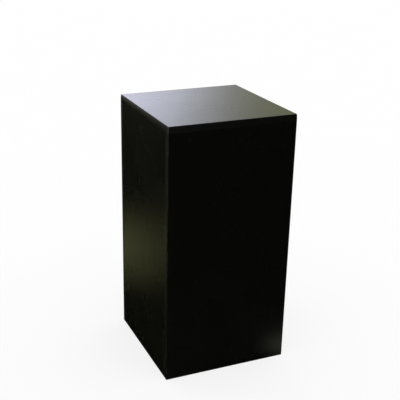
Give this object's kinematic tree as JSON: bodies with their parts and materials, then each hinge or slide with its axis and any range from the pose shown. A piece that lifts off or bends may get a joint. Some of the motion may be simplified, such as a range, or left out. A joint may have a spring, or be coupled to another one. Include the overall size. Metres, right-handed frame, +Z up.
{
  "type": "display pedestal",
  "caption": "Tall square black laminated display pedestal, open below, held together by cam locks, with levelling feet inside its foot.",
  "frame": {"origin": "middle of the footprint, on the floor that the walls stand on", "axes": "+Z up, -Y out of the front panel, +X to the right seen from the front"},
  "size_m": [0.381, 0.381, 0.762],
  "materials": {
    "black_laminate": "satin",
    "edge_banding": "satin",
    "zinc_cam": "satin",
    "plated_steel": "satin",
    "block_wood": "matte",
    "dowel_wood": "matte",
    "pad_plastic": "matte"
  },
  "bodies": {
    "carcass": {"back_panel": "black_laminate", "block_screws": "plated_steel", "corner_block_left_back": "block_wood", "corner_block_left_front": "block_wood", "corner_block_right_back": "block_wood", "corner_block_right_front": "block_wood", "front_panel": "black_laminate", "left_side_panel": "black_laminate", "right_side_panel": "black_laminate", "tee_nuts": "plated_steel", "top_band_back": "edge_banding", "top_band_front": "edge_banding", "top_band_left": "edge_banding", "top_band_right": "edge_banding", "top_cam_bolts": "plated_steel", "top_dowels": "dowel_wood", "top_panel": "black_laminate", "wall_band_left_back": "edge_banding", "wall_band_left_front": "edge_banding", "wall_band_right_back": "edge_banding", "wall_band_right_front": "edge_banding", "wall_cam_bolts": "plated_steel", "wall_dowels": "dowel_wood"},
    "cam_left_front_low": {"cam_left_front_low": "zinc_cam"},
    "cam_left_front_high": {"cam_left_front_high": "zinc_cam"},
    "cam_left_back_low": {"cam_left_back_low": "zinc_cam"},
    "cam_left_back_high": {"cam_left_back_high": "zinc_cam"},
    "cam_right_front_low": {"cam_right_front_low": "zinc_cam"},
    "cam_right_front_high": {"cam_right_front_high": "zinc_cam"},
    "cam_right_back_low": {"cam_right_back_low": "zinc_cam"},
    "cam_right_back_high": {"cam_right_back_high": "zinc_cam"},
    "cam_left_top_front": {"cam_left_top_front": "zinc_cam"},
    "cam_left_top_back": {"cam_left_top_back": "zinc_cam"},
    "cam_right_top_front": {"cam_right_top_front": "zinc_cam"},
    "cam_right_top_back": {"cam_right_top_back": "zinc_cam"},
    "levelling_pad_left_front": {"levelling_pad_left_front": "pad_plastic"},
    "levelling_stud_left_front": {"levelling_stud_left_front": "plated_steel"},
    "levelling_pad_left_back": {"levelling_pad_left_back": "pad_plastic"},
    "levelling_stud_left_back": {"levelling_stud_left_back": "plated_steel"},
    "levelling_pad_right_front": {"levelling_pad_right_front": "pad_plastic"},
    "levelling_stud_right_front": {"levelling_stud_right_front": "plated_steel"},
    "levelling_pad_right_back": {"levelling_pad_right_back": "pad_plastic"},
    "levelling_stud_right_back": {"levelling_stud_right_back": "plated_steel"}
  },
  "joints": [
    {"name": "cam_turn_left_front_low", "type": "hinge", "parent": "carcass", "child": "cam_left_front_low", "pos_m": [-0.1715, -0.1375, 0.11], "axis": [1, 0, 0], "range_deg": [0, 200]},
    {"name": "cam_turn_left_front_high", "type": "hinge", "parent": "carcass", "child": "cam_left_front_high", "pos_m": [-0.1715, -0.1375, 0.633], "axis": [1, 0, 0], "range_deg": [0, 200]},
    {"name": "cam_turn_left_back_low", "type": "hinge", "parent": "carcass", "child": "cam_left_back_low", "pos_m": [-0.1715, 0.1375, 0.11], "axis": [1, 0, 0], "range_deg": [0, 200]},
    {"name": "cam_turn_left_back_high", "type": "hinge", "parent": "carcass", "child": "cam_left_back_high", "pos_m": [-0.1715, 0.1375, 0.633], "axis": [1, 0, 0], "range_deg": [0, 200]},
    {"name": "cam_turn_right_front_low", "type": "hinge", "parent": "carcass", "child": "cam_right_front_low", "pos_m": [0.1715, -0.1375, 0.11], "axis": [-1, 0, 0], "range_deg": [0, 200]},
    {"name": "cam_turn_right_front_high", "type": "hinge", "parent": "carcass", "child": "cam_right_front_high", "pos_m": [0.1715, -0.1375, 0.633], "axis": [-1, 0, 0], "range_deg": [0, 200]},
    {"name": "cam_turn_right_back_low", "type": "hinge", "parent": "carcass", "child": "cam_right_back_low", "pos_m": [0.1715, 0.1375, 0.11], "axis": [-1, 0, 0], "range_deg": [0, 200]},
    {"name": "cam_turn_right_back_high", "type": "hinge", "parent": "carcass", "child": "cam_right_back_high", "pos_m": [0.1715, 0.1375, 0.633], "axis": [-1, 0, 0], "range_deg": [0, 200]},
    {"name": "cam_turn_left_top_front", "type": "hinge", "parent": "carcass", "child": "cam_left_top_front", "pos_m": [-0.1715, -0.09, 0.709], "axis": [1, 0, 0], "range_deg": [0, 200]},
    {"name": "cam_turn_left_top_back", "type": "hinge", "parent": "carcass", "child": "cam_left_top_back", "pos_m": [-0.1715, 0.09, 0.709], "axis": [1, 0, 0], "range_deg": [0, 200]},
    {"name": "cam_turn_right_top_front", "type": "hinge", "parent": "carcass", "child": "cam_right_top_front", "pos_m": [0.1715, -0.09, 0.709], "axis": [-1, 0, 0], "range_deg": [0, 200]},
    {"name": "cam_turn_right_top_back", "type": "hinge", "parent": "carcass", "child": "cam_right_top_back", "pos_m": [0.1715, 0.09, 0.709], "axis": [-1, 0, 0], "range_deg": [0, 200]},
    {"name": "pad_drop_left_front", "type": "slide", "parent": "carcass", "child": "levelling_pad_left_front", "axis": [0, 0, -1], "range_m": [0, 0.012]},
    {"name": "stud_turn_left_front", "type": "hinge", "parent": "levelling_pad_left_front", "child": "levelling_stud_left_front", "pos_m": [-0.1495, -0.1495, 0], "axis": [0, 0, -1], "range_deg": [0, 3456]},
    {"name": "pad_drop_left_back", "type": "slide", "parent": "carcass", "child": "levelling_pad_left_back", "axis": [0, 0, -1], "range_m": [0, 0.012]},
    {"name": "stud_turn_left_back", "type": "hinge", "parent": "levelling_pad_left_back", "child": "levelling_stud_left_back", "pos_m": [-0.1495, 0.1495, 0], "axis": [0, 0, -1], "range_deg": [0, 3456]},
    {"name": "pad_drop_right_front", "type": "slide", "parent": "carcass", "child": "levelling_pad_right_front", "axis": [0, 0, -1], "range_m": [0, 0.012]},
    {"name": "stud_turn_right_front", "type": "hinge", "parent": "levelling_pad_right_front", "child": "levelling_stud_right_front", "pos_m": [0.1495, -0.1495, 0], "axis": [0, 0, -1], "range_deg": [0, 3456]},
    {"name": "pad_drop_right_back", "type": "slide", "parent": "carcass", "child": "levelling_pad_right_back", "axis": [0, 0, -1], "range_m": [0, 0.012]},
    {"name": "stud_turn_right_back", "type": "hinge", "parent": "levelling_pad_right_back", "child": "levelling_stud_right_back", "pos_m": [0.1495, 0.1495, 0], "axis": [0, 0, -1], "range_deg": [0, 3456]}
  ],
  "couplings": [
    {"joint": "stud_turn_left_front", "follows": "pad_drop_left_front", "rad_per_m": 5026.5},
    {"joint": "stud_turn_left_back", "follows": "pad_drop_left_back", "rad_per_m": 5026.5},
    {"joint": "stud_turn_right_front", "follows": "pad_drop_right_front", "rad_per_m": 5026.5},
    {"joint": "stud_turn_right_back", "follows": "pad_drop_right_back", "rad_per_m": 5026.5}
  ]
}
